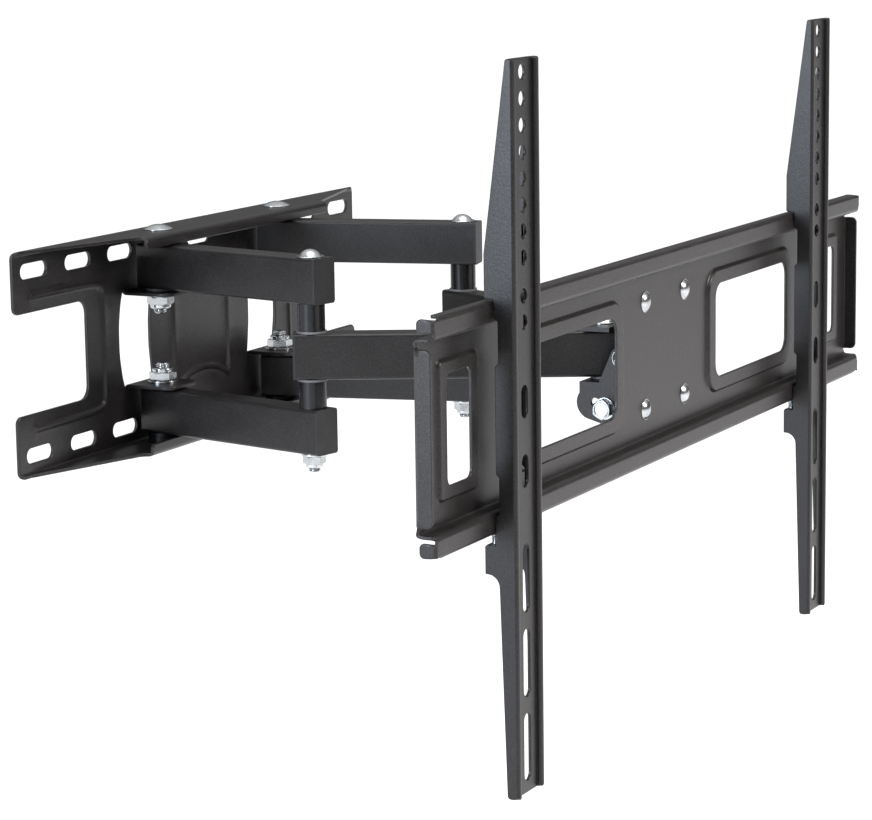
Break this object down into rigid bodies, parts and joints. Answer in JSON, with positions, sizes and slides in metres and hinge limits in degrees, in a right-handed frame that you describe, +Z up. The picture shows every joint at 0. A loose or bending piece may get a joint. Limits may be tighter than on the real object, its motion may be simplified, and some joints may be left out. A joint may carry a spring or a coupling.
{
  "type": "full motion TV wall mount",
  "caption": "Full motion TV wall mount: slotted wall plate, two folding square-tube arms, tilting head, wide screen plate and upright brackets in black powder-coated steel.",
  "frame": {"origin": "centre of the wall plate's back face", "axes": "+X right along the wall, +Y into the wall, +Z up"},
  "size_m": [0.71, 0.3814, 0.428],
  "materials": {
    "powder_coat": "satin",
    "zinc": "satin",
    "plastic": "matte"
  },
  "bodies": {
    "wall": {"wall_plate": "powder_coat", "wall_pivot_bolts": "zinc", "wall_pivot_nuts": "zinc", "wall_pivot_washers": "zinc", "wall_pivot_spacers": "plastic", "wall_slip_washers": "plastic"},
    "left_rear": {"left_rear_upper_tube": "powder_coat", "left_rear_lower_tube": "powder_coat", "left_rear_end_caps": "plastic", "left_rear_bushes": "plastic", "left_elbow_bolt": "zinc", "left_elbow_nut": "zinc", "left_elbow_spacers": "powder_coat", "left_elbow_slip_washers": "plastic"},
    "right_rear": {"right_rear_upper_tube": "powder_coat", "right_rear_lower_tube": "powder_coat", "right_rear_end_caps": "plastic", "right_rear_bushes": "plastic", "right_elbow_bolt": "zinc", "right_elbow_nut": "zinc", "right_elbow_spacers": "powder_coat", "right_elbow_slip_washers": "plastic"},
    "left_front": {"left_front_tube": "powder_coat", "left_front_end_caps": "plastic", "left_front_bushes": "plastic"},
    "right_front": {"right_front_tube": "powder_coat", "right_front_end_caps": "plastic", "right_front_bush": "plastic"},
    "head": {"swivel_yoke": "powder_coat", "head_pivot_bolts": "zinc", "head_pivot_nuts": "zinc", "head_slip_washers": "zinc"},
    "screen": {"tilt_bracket": "powder_coat", "tilt_pivot_bolts": "zinc", "tilt_lock_bolts": "zinc", "tilt_lock_nuts": "zinc", "tilt_lock_washers": "zinc", "screen_plate": "powder_coat", "plate_carriage_bolts": "zinc", "plate_carriage_nuts": "zinc"},
    "left_bracket": {"left_screen_bracket": "powder_coat"},
    "left_screw": {"left_lock_screw": "zinc"},
    "right_bracket": {"right_screen_bracket": "powder_coat"},
    "right_screw": {"right_lock_screw": "zinc"}
  },
  "joints": [
    {"name": "left_rear_swing", "type": "hinge", "parent": "wall", "child": "left_rear", "pos_m": [-0.08, -0.02, 0], "axis": [0, 0, -1], "range_deg": [-10, 67]},
    {"name": "left_elbow", "type": "hinge", "parent": "left_rear", "child": "left_front", "pos_m": [-0.11104, -0.15446, 0], "axis": [0, 0, 1], "range_deg": [-19, 122]},
    {"name": "head_swivel", "type": "hinge", "parent": "left_front", "child": "head", "pos_m": [-0.028, -0.32535, 0], "axis": [0, 0, 1], "range_deg": [-55, 9]},
    {"name": "right_rear_swing", "type": "hinge", "parent": "wall", "child": "right_rear", "pos_m": [0.08, -0.02, 0], "axis": [0, 0, 1], "range_deg": [-11, 68]},
    {"name": "right_elbow", "type": "hinge", "parent": "right_rear", "child": "right_front", "pos_m": [0.11104, -0.15446, 0], "axis": [0, 0, -1], "range_deg": [-19, 122]},
    {"name": "screen_tilt", "type": "hinge", "parent": "head", "child": "screen", "pos_m": [0, -0.34635, 0], "axis": [1, 0, 0], "range_deg": [-3, 11]},
    {"name": "left_bracket_slide", "type": "slide", "parent": "screen", "child": "left_bracket", "axis": [1, 0, 0], "range_m": [-0.07, 0.18]},
    {"name": "right_bracket_slide", "type": "slide", "parent": "screen", "child": "right_bracket", "axis": [1, 0, 0], "range_m": [-0.145, 0.104]},
    {"name": "left_screw_travel", "type": "slide", "parent": "left_bracket", "child": "left_screw", "axis": [0, 0, -1], "range_m": [0, 0.006]},
    {"name": "right_screw_travel", "type": "slide", "parent": "right_bracket", "child": "right_screw", "axis": [0, 0, -1], "range_m": [0, 0.006]}
  ],
  "couplings": [
    {"joint": "left_elbow", "follows": "left_rear_swing", "ratio": 1.81},
    {"joint": "head_swivel", "follows": "left_rear_swing", "ratio": -0.81},
    {"joint": "right_rear_swing", "follows": "left_rear_swing", "ratio": 1},
    {"joint": "right_elbow", "follows": "left_rear_swing", "ratio": 1.81}
  ]
}
